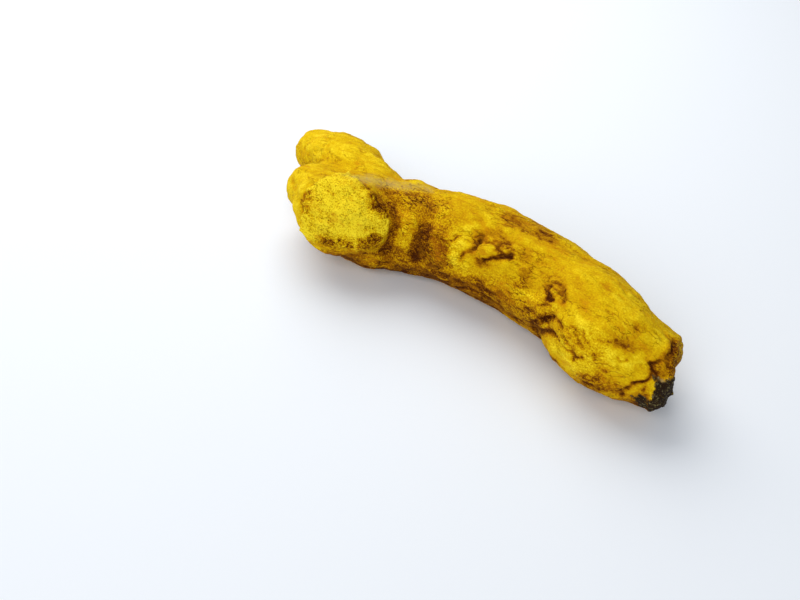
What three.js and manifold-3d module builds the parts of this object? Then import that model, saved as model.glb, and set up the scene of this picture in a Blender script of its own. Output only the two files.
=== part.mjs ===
// A dried turmeric root lying on a flat surface: one grown piece, in millimetres, +Z up.
// The stout main body runs along X and bends a little. At its -X end it forks into a blunt
// stub whose broken face looks towards -Y, a small rounded lobe, and a tapering finger.
// Its +X end is broken off square. The origin is under the middle of the root's box.

import * as THREE from 'three';
import { ImprovedNoise } from 'three/addons/math/ImprovedNoise.js';
import { mergeVertices } from 'three/addons/utils/BufferGeometryUtils.js';
import Module from 'manifold-3d';

// The limbs of the root: each station is the centre [x, y, z] of the flesh and its radius.
const BODY = [
  { at: [-21.8, -1.3, 6.7], radius: 7.0 },
  { at: [-16.1, 1.4, 6.9], radius: 7.0 },
  { at: [-10.4, 2.8, 7.3], radius: 7.2 },
  { at: [-4.4, 3.0, 7.4], radius: 7.2 },
  { at: [2.2, 3.0, 7.5], radius: 7.3 },
  { at: [10.6, 1.7, 7.4], radius: 7.2 },
  { at: [16.5, -0.6, 7.7], radius: 7.6 },
  { at: [20.8, -2.9, 7.4], radius: 7.3 },
  { at: [26.0, -2.9, 6.9], radius: 5.9 },
  { at: [33.0, -2.8, 6.4], radius: 4.8 },
];
const STUB = [
  { at: [-23.8, -1.6, 7.0], radius: 6.6 },
  { at: [-24.6, -5.2, 9.6], radius: 7.0 },
  { at: [-24.9, -10.2, 12.9], radius: 8.0 },
];
const LOBE = [
  { at: [-25.5, -3.0, 8.6], radius: 5.8 },
  { at: [-30.2, -4.2, 9.5], radius: 5.0 },
  { at: [-35.0, -2.4, 8.8], radius: 4.5 },
];
const FINGER = [
  { at: [-20.4, 1.7, 8.5], radius: 4.7 },
  { at: [-27.8, 4.1, 8.6], radius: 5.0 },
  { at: [-36.2, 7.1, 7.7], radius: 5.3 },
  { at: [-44.4, 9.6, 5.8], radius: 4.2 },
];
const KNOB = [
  { at: [-19.2, 4.7, 11.7], radius: 1.6 },
  { at: [-17.6, 4.9, 11.7], radius: 1.4 },
];

// The stub is oval: it is this many times narrower along this direction.
const STUB_OVAL = { along: [-0.385, 0.493, 0.78], times: 1.26 };

// The broken faces: a point, the way they look, the radius of their bulge, how far from the
// point the bulge reaches, the rounding of the rim, and the size and height of their lumps.
const STUB_FACE = {
  at: [-24.3, -7.9, 12.0], normal: [0.15, -0.8, 0.58], dome: 24, reach: 9, rim: 1.8, lump: 3.4, rough: 0.45,
};
const BROKEN_END = {
  at: [31.1, -2.5, 6.4], normal: [0.91, 0.2, -0.12], dome: 12, reach: 9, rim: 0.8, lump: 3.0, rough: 0.8,
};

// How softly each limb flows into the rest.
const WEB = { stub: 1.4, lobe: 3.4, finger: 2.0, knob: 1.4 };
const STATION_STEPS = 4;

// Grooves and swellings of the skin: the line each follows, its half width and its height.
const MARKS = {
  neck: {
    line: [
      [-20.5, -1.2, 14.4],
      [-17.8, -2.6, 13.6],
      [-16.1, -4.2, 12.1],
      [-15.7, -5.5, 9.5],
      [-17.1, -5.6, 5.7],
    ],
    width: 1.5,
    height: -0.9,
  },
  neckFold: {
    line: [
      [-13.2, 0.0, 14.2],
      [-12.2, -1.9, 13.3],
      [-11.8, -3.6, 11.8],
      [-11.8, -4.8, 9.8],
      [-12.1, -5.2, 7.6],
    ],
    width: 1.3,
    height: -0.8,
  },
  neckSwelling: { line: [[-14.5, -3.4, 12.7], [-14.0, -4.7, 10.8]], width: 1.5, height: 0.5 },
  scarEye: { line: [[-2.4, -2.6, 12.6], [2.2, -1.6, 13.4]], width: 1.6, height: 0.6 },
  scarUpperLid: {
    line: [[-4.6, -3.5, 11.4], [-3.4, -2.7, 12.7], [-2.1, -1.0, 13.9]],
    width: 1.0,
    height: -0.5,
  },
  scarLowerLid: {
    line: [[-1.9, -3.6, 11.0], [-0.2, -3.4, 11.9], [1.3, -2.6, 12.7]],
    width: 1.0,
    height: -0.6,
  },
  shoulderFold: {
    line: [
      [10.4, -5.0, 3.6],
      [10.4, -5.7, 5.3],
      [11.8, -6.7, 8.2],
      [12.7, -6.6, 9.9],
    ],
    width: 1.5,
    height: -0.9,
  },
};

// Lumps and lengthwise wrinkles all over the skin, each from its own place in the noise.
const LUMPS = { size: [9, 9, 9], height: 0.6, from: [11.3, 4.7, 8.1] };
const WRINKLES = { size: [7, 2.4, 2.4], height: 0.4, from: [3.1, 7.9, 1.7] };

// The facets: the cell they are cut in, the room round the stations, how often and how far a
// vertex is pulled onto the skin, how far inside its cell it stays, so that no facet folds
// over, the step that the skin's slope is measured over, and how close two points are one.
const CELL = 1.0;
const MARGIN = 2.5;
const PULLS = 3;
const PULL_LIMIT = CELL / 5;
const INSET = CELL / 50;
const SLOPE_STEP = CELL / 20;
const SAME_POINT = 1e-4;

// How far the lowest spots are flattened where the root rests.
const SINK = 0.35;

const noise = new ImprovedNoise();
const vector = ([x, y, z]) => new THREE.Vector3(x, y, z);

/** Smooth minimum of two distances, rounding their meeting over a width k. */
function blend(a, b, k) {
  const h = Math.max(k - Math.abs(a - b), 0) / k;
  return Math.min(a, b) - (h * h * k) / 4;
}

/** Noise at a point, from -1 to 1. */
function ripple(p, { size, from }) {
  return noise.noise(p.x / size[0] + from[0], p.y / size[1] + from[1], p.z / size[2] + from[2]);
}

/** A run of flesh along a curve through its stations, round or oval across. */
class Limb {
  constructor(stations, oval = { along: [0, 0, 1], times: 1 }) {
    this.squash = vector(oval.along).normalize();
    this.extra = oval.times - 1;
    this.nodes = [];
    const curve = new THREE.CatmullRomCurve3(stations.map((s) => vector(s.at)));
    const radii = new THREE.SplineCurve(stations.map((s, i) => new THREE.Vector2(i, s.radius)));
    const count = (stations.length - 1) * STATION_STEPS;
    for (let i = 0; i <= count; i += 1) {
      this.nodes.push({ at: curve.getPoint(i / count), radius: radii.getPoint(i / count).y });
    }
  }

  /** Distance from a point to the limb's skin: negative inside. */
  distance(point) {
    const { nodes } = this;
    let least = Infinity;
    for (let i = 1; i < nodes.length; i += 1) {
      const a = nodes[i - 1];
      const b = nodes[i];
      along.subVectors(b.at, a.at);
      offset.subVectors(point, a.at);
      const t = THREE.MathUtils.clamp(offset.dot(along) / along.lengthSq(), 0, 1);
      const radius = THREE.MathUtils.lerp(a.radius, b.radius, t);
      offset.addScaledVector(along, -t);
      offset.addScaledVector(this.squash, this.extra * offset.dot(this.squash));
      least = Math.min(least, offset.length() - radius);
    }
    return least;
  }
}
const along = new THREE.Vector3();
const offset = new THREE.Vector3();

const body = new Limb(BODY);
const stub = new Limb(STUB, STUB_OVAL);
const lobe = new Limb(LOBE);
const finger = new Limb(FINGER);
const knob = new Limb(KNOB);
const marks = Object.values(MARKS).map((mark) => ({ ...mark, line: mark.line.map(vector) }));

/** Distance past a broken face, which bulges in its middle and is lumpy. */
function pastFace(point, face) {
  const normal = vector(face.normal).normalize();
  offset.subVectors(point, vector(face.at));
  const past = offset.dot(normal);
  const aside = Math.min(offset.lengthSq() - past * past, face.reach * face.reach);
  const lumps = ripple(point, { size: [face.lump, face.lump, face.lump], from: LUMPS.from });
  return past + aside / (2 * face.dome) + lumps * face.rough;
}

/** A limb's distance, cut off at an end face with a rounded rim. */
function cutAt(distance, point, face) {
  return -blend(-distance, -pastFace(point, face), face.rim);
}

/** Distance from a point to a line of points. */
function distanceToLine(point, line) {
  let least = Infinity;
  for (let i = 1; i < line.length; i += 1) {
    segment.set(line[i - 1], line[i]).closestPointToPoint(point, true, nearest);
    least = Math.min(least, nearest.distanceTo(point));
  }
  return least;
}
const segment = new THREE.Line3();
const nearest = new THREE.Vector3();

/** Height of the lumps, wrinkles and marks at a point of the skin. */
function relief(p) {
  let height = ripple(p, LUMPS) * LUMPS.height + ripple(p, WRINKLES) * WRINKLES.height;
  for (const mark of marks) {
    height += mark.height * Math.exp(-((distanceToLine(p, mark.line) / mark.width) ** 2));
  }
  return height;
}

/** Distance from a point to the whole root's skin: negative inside. */
function skin(point) {
  let d = cutAt(body.distance(point), point, BROKEN_END);
  d = blend(d, cutAt(stub.distance(point), point, STUB_FACE), WEB.stub);
  d = blend(d, lobe.distance(point), WEB.lobe);
  d = blend(d, finger.distance(point), WEB.finger);
  d = blend(d, knob.distance(point), WEB.knob);
  return d - relief(point);
}

/** The box that holds every station, with room for the skin. */
function reach() {
  const box = new THREE.Box3();
  for (const limb of [body, stub, lobe, finger, knob]) {
    for (const node of limb.nodes) {
      box.expandByPoint(node.at.clone().addScalar(node.radius));
      box.expandByPoint(node.at.clone().addScalar(-node.radius));
    }
  }
  return box.expandByScalar(MARGIN);
}

/** Facets the zero level of a field: one vertex in each cell that the skin crosses. */
function facet(field, box, cell) {
  const size = box.getSize(new THREE.Vector3());
  const n = [size.x, size.y, size.z].map((length) => Math.ceil(length / cell) + 1);
  const place = (i, j, k) => new THREE.Vector3(i, j, k).multiplyScalar(cell).add(box.min);
  const index = (i, j, k) => i + n[0] * (j + n[1] * k);
  const values = new Float64Array(n[0] * n[1] * n[2]);
  const each = (from, visit) => {
    for (let k = from; k < n[2] - 1; k += 1) {
      for (let j = from; j < n[1] - 1; j += 1) {
        for (let i = from; i < n[0] - 1; i += 1) visit(i, j, k);
      }
    }
  };
  for (let k = 0; k < n[2]; k += 1) {
    for (let j = 0; j < n[1]; j += 1) {
      for (let i = 0; i < n[0]; i += 1) values[index(i, j, k)] = field(place(i, j, k));
    }
  }

  const vertexOf = new Map();
  const positions = [];
  const cells = [];
  const corners = [0, 1, 2, 3, 4, 5, 6, 7].map((c) => [c & 1, (c >> 1) & 1, (c >> 2) & 1]);
  each(0, (i, j, k) => {
    const mean = new THREE.Vector3();
    let crossings = 0;
    corners.forEach((a, ca) => {
      [1, 2, 4].forEach((bit) => {
        if (ca & bit) return;
        const b = corners[ca | bit];
        const va = values[index(i + a[0], j + a[1], k + a[2])];
        const vb = values[index(i + b[0], j + b[1], k + b[2])];
        if (va < 0 === vb < 0) return;
        const start = place(i + a[0], j + a[1], k + a[2]);
        mean.add(start.lerp(place(i + b[0], j + b[1], k + b[2]), va / (va - vb)));
        crossings += 1;
      });
    });
    if (!crossings) return;
    vertexOf.set(index(i, j, k), positions.length);
    positions.push(mean.divideScalar(crossings));
    cells.push(new THREE.Box3(place(i, j, k), place(i + 1, j + 1, k + 1)).expandByScalar(-INSET));
  });

  const triangles = [];
  const sides = [
    [[1, 0, 0], [0, 1, 0], [0, 0, 1]],
    [[0, 1, 0], [0, 0, 1], [1, 0, 0]],
    [[0, 0, 1], [1, 0, 0], [0, 1, 0]],
  ];
  each(1, (i, j, k) => {
    const here = values[index(i, j, k)] < 0;
    sides.forEach(([edge, p, q]) => {
      const there = values[index(i + edge[0], j + edge[1], k + edge[2])] < 0;
      if (here === there) return;
      const ring = [[0, 0], [1, 0], [1, 1], [0, 1]].map(([a, b]) =>
        vertexOf.get(index(i - a * p[0] - b * q[0], j - a * p[1] - b * q[1], k - a * p[2] - b * q[2])),
      );
      if (!here) ring.reverse();
      const [a, b, c, d] = ring;
      const split = positions[a].distanceTo(positions[c]) < positions[b].distanceTo(positions[d]);
      triangles.push(...(split ? [a, b, c, a, c, d] : [b, c, d, b, d, a]));
    });
  });
  return { positions, cells, triangles };
}

/** Pulls vertices onto the zero level along the field's slope, each within its cell. */
function pull(field, positions, cells) {
  const slope = new THREE.Vector3();
  const probe = new THREE.Vector3();
  const change = (p, axis) => {
    probe.copy(p);
    probe[axis] += SLOPE_STEP;
    const high = field(probe);
    probe[axis] -= 2 * SLOPE_STEP;
    return (high - field(probe)) / (2 * SLOPE_STEP);
  };
  for (let round = 0; round < PULLS; round += 1) {
    positions.forEach((p, i) => {
      slope.set(change(p, 'x'), change(p, 'y'), change(p, 'z'));
      const move = THREE.MathUtils.clamp(-field(p) / slope.lengthSq(), -PULL_LIMIT, PULL_LIMIT);
      cells[i].clampPoint(p.addScaledVector(slope, move), p);
    });
  }
}

/** A closed geometry as a solid that can be cut. */
function solidOf(wasm, geometry) {
  const bare = new THREE.BufferGeometry();
  bare.setAttribute('position', geometry.getAttribute('position'));
  bare.setIndex(geometry.index);
  const merged = mergeVertices(bare, SAME_POINT);
  return new wasm.Manifold(
    new wasm.Mesh({
      numProp: 3,
      vertProperties: merged.getAttribute('position').array,
      triVerts: new Uint32Array(merged.index.array),
    }),
  );
}

/** A solid's surface as a geometry. */
function geometryOf(solid) {
  const mesh = solid.getMesh();
  const geometry = new THREE.BufferGeometry();
  geometry.setAttribute('position', new THREE.BufferAttribute(new Float32Array(mesh.vertProperties), 3));
  geometry.setIndex(new THREE.BufferAttribute(new Uint32Array(mesh.triVerts), 1));
  geometry.computeVertexNormals();
  return geometry;
}

/** The root's geometry, resting on z = 0 with its lowest spots flattened. */
async function makeRoot() {
  const { positions, cells, triangles } = facet(skin, reach(), CELL);
  pull(skin, positions, cells);
  const geometry = new THREE.BufferGeometry().setFromPoints(positions);
  geometry.setIndex(triangles);
  geometry.computeBoundingBox();
  const { min, max } = geometry.boundingBox;
  geometry.translate(-(min.x + max.x) / 2, -(min.y + max.y) / 2, -min.z - SINK);

  const wasm = await Module();
  wasm.setup();
  const side = 2 * (max.x - min.x);
  const ground = new THREE.BoxGeometry(side, side, side).translate(0, 0, -side / 2);
  return geometryOf(solidOf(wasm, geometry).subtract(solidOf(wasm, ground)));
}

const root = new THREE.Group();
const rhizome = new THREE.Mesh(
  await makeRoot(),
  new THREE.MeshStandardMaterial({ color: 0xd8a810, roughness: 0.9, metalness: 0 }),
);
rhizome.name = 'rhizome';
root.add(rhizome);

export default root;
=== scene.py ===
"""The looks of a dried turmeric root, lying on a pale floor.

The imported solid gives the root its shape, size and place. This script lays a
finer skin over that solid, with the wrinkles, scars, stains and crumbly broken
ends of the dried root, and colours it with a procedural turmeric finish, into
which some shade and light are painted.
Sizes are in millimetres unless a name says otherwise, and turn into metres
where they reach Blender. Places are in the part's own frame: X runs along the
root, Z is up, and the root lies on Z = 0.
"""

import logging
import math
from collections.abc import Mapping, Sequence
from dataclasses import dataclass, field
from enum import Enum
from typing import Any

import bmesh
import bpy
import numpy as np
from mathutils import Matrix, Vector, noise
from mathutils.bvhtree import BVHTree


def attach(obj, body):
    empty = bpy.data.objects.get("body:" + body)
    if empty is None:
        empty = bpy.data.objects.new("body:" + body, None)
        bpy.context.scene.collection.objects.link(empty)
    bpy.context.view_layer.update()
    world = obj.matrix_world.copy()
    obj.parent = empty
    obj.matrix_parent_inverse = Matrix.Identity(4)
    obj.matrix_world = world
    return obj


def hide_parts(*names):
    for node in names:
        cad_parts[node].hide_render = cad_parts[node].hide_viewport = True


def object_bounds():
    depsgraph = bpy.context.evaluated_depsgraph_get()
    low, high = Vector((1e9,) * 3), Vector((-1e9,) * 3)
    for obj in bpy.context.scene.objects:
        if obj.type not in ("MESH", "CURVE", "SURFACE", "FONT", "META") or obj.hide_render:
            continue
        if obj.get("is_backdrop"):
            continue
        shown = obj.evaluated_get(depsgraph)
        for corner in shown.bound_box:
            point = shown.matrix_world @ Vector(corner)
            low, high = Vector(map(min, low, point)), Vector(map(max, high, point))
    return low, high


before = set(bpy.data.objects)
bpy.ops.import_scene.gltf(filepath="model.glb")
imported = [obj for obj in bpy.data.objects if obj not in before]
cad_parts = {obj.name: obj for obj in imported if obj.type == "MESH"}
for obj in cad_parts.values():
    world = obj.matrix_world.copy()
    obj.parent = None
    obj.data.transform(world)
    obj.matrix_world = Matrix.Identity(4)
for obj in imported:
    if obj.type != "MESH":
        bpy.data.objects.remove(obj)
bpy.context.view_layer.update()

log = logging.getLogger("turmeric_root")

MM = 0.001
MERGE_DISTANCE = 0.01
WELL_OUTSIDE = 100.0
NODE = "rhizome"
BODY = "root"

Point = tuple[float, float, float]
Spot = tuple[float, float]
Paint = tuple[float, float, float, float]


def paint(red: int, green: int, blue: int) -> Paint:
    """A screen colour, 0 to 255 a channel, as the linear colour that a shader takes.

    Args:
        red: the red channel.
        green: the green channel.
        blue: the blue channel.

    Returns:
        The linear red, green and blue, and an alpha of 1.
    """
    linear = [
        value / 12.92 if value <= 0.04045 else ((value + 0.055) / 1.055) ** 2.4
        for value in (red / 255, green / 255, blue / 255)
    ]
    return (*linear, 1.0)


class Mask(Enum):
    """The values that the skin's mesh keeps for its finish."""

    # Real stains, and the shade painted into the valleys and walls beside the stub.
    STAIN_AND_SHADE = "stain_and_shade"
    # Paler skin, and painted light on parts of the far body.
    PALE = "pale"
    RUST = "rust"
    BLACK = "black"
    # Dust, a painted sheen on the crest and painted highlights at the break.
    DUST_AND_SHEEN = "grey"
    CUT = "cut"
    BROKEN = "broken"
    # Painted shade: darker in the hollows, and paler on the raised spots.
    HOLLOW_SHADE = "hollow"
    # Painted shade on the faces that turn down, with a browner, less dusty skin there.
    UNDERSIDE_SHADE_AND_BROWN = "under"
    # Painted shade on the sides turned away from the camera.
    TURNED_AWAY_SHADE = "turned_away_shade"
    ROUGH = "rough"


@dataclass(frozen=True)
class Cloud:
    """A soft random pattern of a finish: its blobs' size, where it starts and how strong it is."""

    size: Point
    start: Point
    share: float = 1.0
    detail: float = 2.0
    coarse: float = 0.5
    bend: float = 0.0


class Wire:
    """A socket in a finish, whose operators add Math nodes."""

    def __init__(self, graph: "Graph", socket: bpy.types.NodeSocket) -> None:
        """Keeps the socket.

        Args:
            graph: the finish that the socket is in.
            socket: the output socket itself.
        """
        self.graph = graph
        self.socket = socket

    def _maths(self, operation: str, *terms: "Wire | float") -> "Wire":
        """Adds one Math node.

        Args:
            operation: the node's operation, in Blender's word.
            terms: the values or sockets that it works on, in order.

        Returns:
            The result's socket.
        """
        return self.graph.node("ShaderNodeMath", {"operation": operation}, dict(enumerate(terms)))

    def __add__(self, other: "Wire | float") -> "Wire":
        """The sum."""
        return self._maths("ADD", self, other)

    def __radd__(self, other: float) -> "Wire":
        """The sum, with the number first."""
        return self._maths("ADD", other, self)

    def __sub__(self, other: "Wire | float") -> "Wire":
        """The difference."""
        return self._maths("SUBTRACT", self, other)

    def __rsub__(self, other: float) -> "Wire":
        """The difference, with the number first."""
        return self._maths("SUBTRACT", other, self)

    def __mul__(self, other: "Wire | float") -> "Wire":
        """The product."""
        return self._maths("MULTIPLY", self, other)

    def __rmul__(self, other: float) -> "Wire":
        """The product, with the number first."""
        return self._maths("MULTIPLY", other, self)

    def __abs__(self) -> "Wire":
        """The size without its sign."""
        return self._maths("ABSOLUTE", self)

    def rise(self, low: float, high: float) -> "Wire":
        """A soft step over the value.

        Args:
            low: where the step starts, at 0.
            high: where it is whole, at 1; a high below low makes the step fall.

        Returns:
            The step, from 0 to 1.
        """
        settings = {"interpolation_type": "SMOOTHSTEP"}
        return self.graph.node(
            "ShaderNodeMapRange", settings, {"Value": self, "From Min": low, "From Max": high}
        )


class Graph:
    """The node tree of one finish."""

    def __init__(self, name: str) -> None:
        """Makes an empty material.

        Args:
            name: the material's name.
        """
        self.material = bpy.data.materials.new(name)
        self.material.use_nodes = True
        self.tree = self.material.node_tree
        self.tree.nodes.clear()

    def node(
        self,
        kind: str,
        settings: Mapping[str, Any],
        sockets: Mapping[str | int, Any],
        output: str | int = 0,
    ) -> Wire | None:
        """Adds a node.

        Args:
            kind: the node's type, in Blender's word.
            settings: the node's own settings, which are set first.
            sockets: the value or the link of each input that isn't left as it is.
            output: the output that the node is used for.

        Returns:
            That output's socket, or nothing for a node without outputs.
        """
        made = self.tree.nodes.new(kind)
        for name, value in settings.items():
            if name == "stops":
                self._set_stops(made.color_ramp, value)
            else:
                setattr(made, name, value)
        for name, value in sockets.items():
            if isinstance(value, Wire):
                self.tree.links.new(value.socket, made.inputs[name])
            else:
                made.inputs[name].default_value = value
        return Wire(self, made.outputs[output]) if len(made.outputs) else None

    @staticmethod
    def _set_stops(ramp: bpy.types.ColorRamp, stops: Sequence[tuple[float, Paint]]) -> None:
        """Gives a ramp its colours.

        Args:
            ramp: the ramp.
            stops: the place and the colour of each stop, from the lowest.
        """
        while len(ramp.elements) < len(stops):
            ramp.elements.new(1.0)
        for element, (place, colour) in zip(ramp.elements, stops):
            element.position = place
            element.color = colour

    def places(self, size: Point = (1.0, 1.0, 1.0), start: Point = (0.0, 0.0, 0.0)) -> Wire:
        """The surface's places, for a pattern.

        Args:
            size: how far the pattern is stretched along X, Y and Z, in millimetres.
            start: how far the pattern is slid along, in its own units.

        Returns:
            The socket of the places in the pattern's units.
        """
        here = self.node("ShaderNodeTexCoord", {}, {}, "Object")
        scale = tuple(1 / (length * MM) for length in size)
        return self.node(
            "ShaderNodeMapping", {}, {"Vector": here, "Location": start, "Scale": scale}
        )

    def cloud(self, cloud: Cloud) -> Wire:
        """A soft random pattern, about 0 on average.

        Args:
            cloud: the pattern's sizes.

        Returns:
            The pattern's socket, times the pattern's own share.
        """
        sockets = {
            "Vector": self.places(cloud.size, cloud.start),
            "Scale": 1.0,
            "Detail": cloud.detail,
            "Roughness": cloud.coarse,
            "Distortion": cloud.bend,
        }
        return (self.node("ShaderNodeTexNoise", {}, sockets) - 0.5) * cloud.share

    def mask(self, mask: Mask) -> Wire:
        """The value that the mesh keeps for that mask."""
        return self.node("ShaderNodeAttribute", {"attribute_name": mask.value}, {}, "Fac")

    def mix(self, first: Wire | Paint, second: Wire | Paint, share: Wire | float) -> Wire:
        """Mixes two colours.

        Args:
            first: the colour where the share is 0.
            second: the colour that the share brings in.
            share: how much of the second colour there is.

        Returns:
            The mixed colour's socket.
        """
        settings = {"data_type": "RGBA", "clamp_factor": True}
        return self.node("ShaderNodeMix", settings, {0: share, 6: first, 7: second}, 2)

    def ramp(self, value: Wire, stops: Sequence[tuple[float, Paint]]) -> Wire:
        """Turns a value into a colour.

        Args:
            value: the value, from 0 to 1.
            stops: the place and the colour of each stop, from the lowest.

        Returns:
            The colour's socket.
        """
        return self.node("ShaderNodeValToRGB", {"stops": stops}, {"Fac": value})

    def finish(self, sockets: Mapping[str, Any]) -> bpy.types.Material:
        """Closes the tree with its shader.

        Args:
            sockets: the values or links of the Principled shader's inputs.

        Returns:
            The finished material.
        """
        shader = self.node("ShaderNodeBsdfPrincipled", {}, sockets)
        self.node("ShaderNodeOutputMaterial", {}, {"Surface": shader})
        return self.material


@dataclass(frozen=True)
class Overlay:
    """A colour that covers part of the skin.

    It comes in from low to high. The smear and the fine pattern, each times its share here, make
    its edge ragged.
    """

    colour: Paint
    share: float
    low: float
    high: float
    smear: float = 0.0
    fine: float = 0.0

    def cover(self, value: Wire, smear: Wire, fine: Wire) -> Wire:
        """Where the colour lies.

        Args:
            value: the mask or the pattern that brings the colour in.
            smear: the pattern that streaks the stains.
            fine: the finest pattern.

        Returns:
            The cover's socket, from 0 to 1.
        """
        for pattern, share in ((smear, self.smear), (fine, self.fine)):
            if share:
                value = value + pattern * share
        return value.rise(self.low, self.high)


@dataclass(frozen=True)
class TurmericSkin:
    """The finish of the dried root: dusty yellow that darkens through ochre to umber, in its stains and in
    the shade painted into it.
    """

    stops: tuple[tuple[float, Paint], ...] = (
        (0.0, paint(252, 223, 40)),
        (0.25, paint(221, 182, 8)),
        (0.48, paint(192, 138, 3)),
        (0.72, paint(132, 77, 2)),
        (0.95, paint(70, 29, 2)),
    )
    amber: Overlay = Overlay(paint(205, 136, 4), 0.55, 0.0, 0.3, smear=0.5)
    rust: Overlay = Overlay(paint(178, 103, 6), 0.55, 0.15, 1.0, smear=1.5, fine=0.5)
    # Over the grey mask: dust, and a painted sheen and highlights.
    dust_and_sheen: Overlay = Overlay(paint(188, 174, 112), 0.55, 0.1, 1.0, smear=1.6, fine=0.9)
    char: Overlay = Overlay(paint(40, 26, 15), 1.0, 0.22, 0.85, smear=0.9, fine=1.3)
    fleck: Overlay = Overlay(paint(188, 174, 112), 0.3, 0.05, 0.25, smear=1.0)
    depth: float = 0.325
    # Masks that darken the colour: painted shade in the hollows, on the underside and on the sides turned
    # from the camera, and the darker broken face.
    deepened: tuple[tuple[Mask, float], ...] = (
        (Mask.HOLLOW_SHADE, 0.07),
        (Mask.UNDERSIDE_SHADE_AND_BROWN, 0.2),
        (Mask.TURNED_AWAY_SHADE, 0.03),
        (Mask.BROKEN, 0.2),
    )
    # Masks that lighten the colour: the cut face, and the pale mask, which also holds painted light.
    lightened: tuple[tuple[Mask, float], ...] = ((Mask.CUT, 0.2), (Mask.PALE, 0.17))
    mottle: Cloud = Cloud((2.4, 1.5, 1.5), (3.1, 8.2, 5.7), 0.3, 3.0, 0.55)
    area: Cloud = Cloud((9.0, 6.0, 6.0), (7.4, 1.3, 2.8), 0.28)
    smear: Cloud = Cloud((1.5, 0.6, 0.6), (6.1, 0.9, 3.5), 1.0, 3.0, 0.55, 0.4)
    fine: Cloud = Cloud((0.28, 0.22, 0.22), (2.9, 7.7, 1.1), 1.0, 2.0, 0.65)
    fibre: Cloud = Cloud((2.2, 0.35, 0.35), (4.9, 1.7, 6.1), 1.0, 3.0, 0.6)
    line: Cloud = Cloud((2.4, 1.0, 1.0), (5.5, 2.2, 7.1), 1.0, 2.0, 0.5, 0.6)
    crowd: Cloud = Cloud((4.5, 3.0, 3.0), (9.2, 6.6, 0.4))
    tint: Cloud = Cloud((4.0, 2.4, 2.4), (1.7, 4.3, 9.6), 1.0, 3.0, 0.55, 0.5)
    line_edge: Spot = (0.026, 0.004)
    crowd_edge: Spot = (-0.05, 0.1)
    line_depth: float = 0.18
    rough_line: float = 0.16
    smear_depth: float = 0.2
    stain_and_shade_depth: float = 0.56
    stain_and_shade_smear: float = 0.8
    grain: float = 0.6
    grainier: tuple[tuple[Mask, float], ...] = (
        (Mask.CUT, 1.3),
        (Mask.ROUGH, 0.7),
        (Mask.BROKEN, 1.2),
    )
    fibre_depth: float = 0.9
    bump: float = 0.1
    cut_bump: float = 0.14
    line_bump: float = 0.1
    roughness: float = 0.9
    char_roughness: float = 0.7
    specular: float = 0.05

    def _lines(self, graph: Graph) -> Wire:
        """The fine dark wrinkles.

        Args:
            graph: the finish's node tree.

        Returns:
            Their share's socket, from 0 to 1.
        """
        crowded = graph.cloud(self.crowd).rise(*self.crowd_edge)
        return abs(graph.cloud(self.line)).rise(*self.line_edge) * crowded

    def _depth(self, graph: Graph, fine: Wire, smear: Wire, lines: Wire) -> Wire:
        """How far the skin has darkened, by its own colours and by painted shade and light.

        Args:
            graph: the finish's node tree.
            fine: the finest pattern.
            smear: the pattern that streaks the stains.
            lines: the share of fine wrinkles.

        Returns:
            The depth's socket, from 0 where it is palest to 1 where it is darkest.
        """
        depth = self.depth + graph.cloud(self.mottle) + graph.cloud(self.area)
        for mask, share in self.deepened:
            depth = depth + graph.mask(mask) * share
        # The stain mask darkens real stains and the painted shade beside the stub.
        stain_and_shade = graph.mask(Mask.STAIN_AND_SHADE)
        for mask, share in self.lightened:
            depth = depth - graph.mask(mask) * (1 - stain_and_shade) * share
        wrinkled = graph.mask(Mask.ROUGH) * self.rough_line + self.line_depth
        depth = depth + smear * self.smear_depth + lines * wrinkled
        depth = depth + stain_and_shade * (smear * self.stain_and_shade_smear + self.stain_and_shade_depth)
        grain = self.grain
        for mask, share in self.grainier:
            grain = grain + graph.mask(mask) * share
        fibre = graph.cloud(self.fibre) * graph.mask(Mask.UNDERSIDE_SHADE_AND_BROWN) * self.fibre_depth
        return depth + fine * grain + fibre

    def material(self) -> bpy.types.Material:
        """Makes the finish.

        Returns:
            The material.
        """
        graph = Graph("turmeric skin")
        lines = self._lines(graph)
        fine = graph.cloud(self.fine)
        smear = graph.cloud(self.smear)
        grey = graph.mask(Mask.DUST_AND_SHEEN)
        black = self.char.cover(graph.mask(Mask.BLACK), smear, fine)
        colour = graph.ramp(self._depth(graph, fine, smear, lines), self.stops)
        covers = (
            (self.amber, self.amber.cover(graph.cloud(self.tint), smear, fine)),
            (self.rust, self.rust.cover(graph.mask(Mask.RUST), smear, fine)),
            # The grey mask brings dust, and painted sheen and highlights.
            (self.dust_and_sheen, self.dust_and_sheen.cover(grey, grey * smear, grey * fine)),
            (self.char, black),
            (self.fleck, self.fleck.cover(fine, smear, fine) * black),
        )
        for overlay, cover in covers:
            colour = graph.mix(colour, overlay.colour, cover * overlay.share)
        height = fine * (graph.mask(Mask.CUT) * self.cut_bump + self.bump) - lines * self.line_bump
        bump = graph.node(
            "ShaderNodeBump", {}, {"Strength": 1.0, "Distance": MM, "Height": height}, "Normal"
        )
        return graph.finish(
            {
                "Base Color": colour,
                "Roughness": self.roughness - black * (self.roughness - self.char_roughness),
                "Normal": bump,
                "Specular IOR Level": self.specular,
            }
        )


@dataclass(frozen=True)
class FloorFinish:
    """The finish of the floor: matt, near white."""

    colour: Paint = paint(237, 241, 247)
    roughness: float = 0.8
    specular: float = 0.2

    def material(self) -> bpy.types.Material:
        """Makes the finish.

        Returns:
            The material.
        """
        return Graph("pale floor").finish(
            {
                "Base Color": self.colour,
                "Roughness": self.roughness,
                "Specular IOR Level": self.specular,
            }
        )


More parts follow.
